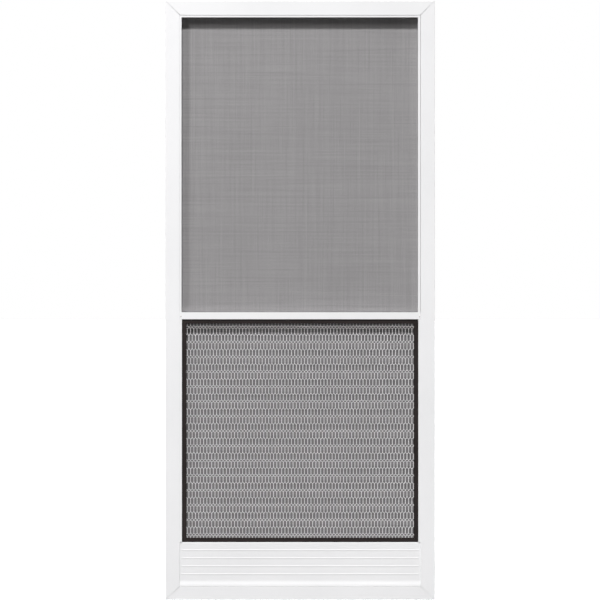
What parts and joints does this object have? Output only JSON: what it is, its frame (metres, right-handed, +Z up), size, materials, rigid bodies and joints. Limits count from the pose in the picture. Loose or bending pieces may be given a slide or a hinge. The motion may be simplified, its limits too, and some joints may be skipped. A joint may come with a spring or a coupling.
{
  "type": "steel screen door",
  "caption": "Full-height steel screen door leaf: mitred frame, screened upper panel, screened lower panel behind an expanded-metal grille, and a ribbed kick panel.",
  "frame": {"origin": "on the hinge edge's outer face, at the foot of the leaf and halfway through its depth", "axes": "+X from the hinge edge to the latch edge, +Y from the front face to the back, +Z up"},
  "size_m": [0.9144, 0.0263, 2.032],
  "materials": {
    "white_steel": "smooth white baked enamel",
    "black_channel": "satin black enamel",
    "grille_steel": "satin grey coated expanded metal",
    "insect_screen": "woven grey fibreglass insect screen",
    "vinyl_spline": "black vinyl",
    "rivet_steel": "plain steel"
  },
  "bodies": {
    "root": {"bottom_rail": "white_steel", "crossbar": "white_steel", "crossbar_rivets": "rivet_steel", "grille": "grille_steel", "grille_border_bottom": "black_channel", "grille_border_left": "black_channel", "grille_border_right": "black_channel", "grille_border_top": "black_channel", "kick_panel_back": "white_steel", "kick_panel_front": "white_steel", "left_stile": "white_steel", "lower_screen": "insect_screen", "lower_side_strip_left": "white_steel", "lower_side_strip_right": "white_steel", "lower_spline_bottom": "vinyl_spline", "lower_spline_left": "vinyl_spline", "lower_spline_right": "vinyl_spline", "lower_spline_top": "vinyl_spline", "right_stile": "white_steel", "top_rail": "white_steel", "upper_bead_left": "white_steel", "upper_bead_right": "white_steel", "upper_bead_top": "white_steel", "upper_screen": "insect_screen", "upper_spline_bottom": "vinyl_spline", "upper_spline_left": "vinyl_spline", "upper_spline_right": "vinyl_spline", "upper_spline_top": "vinyl_spline"}
  },
  "joints": []
}
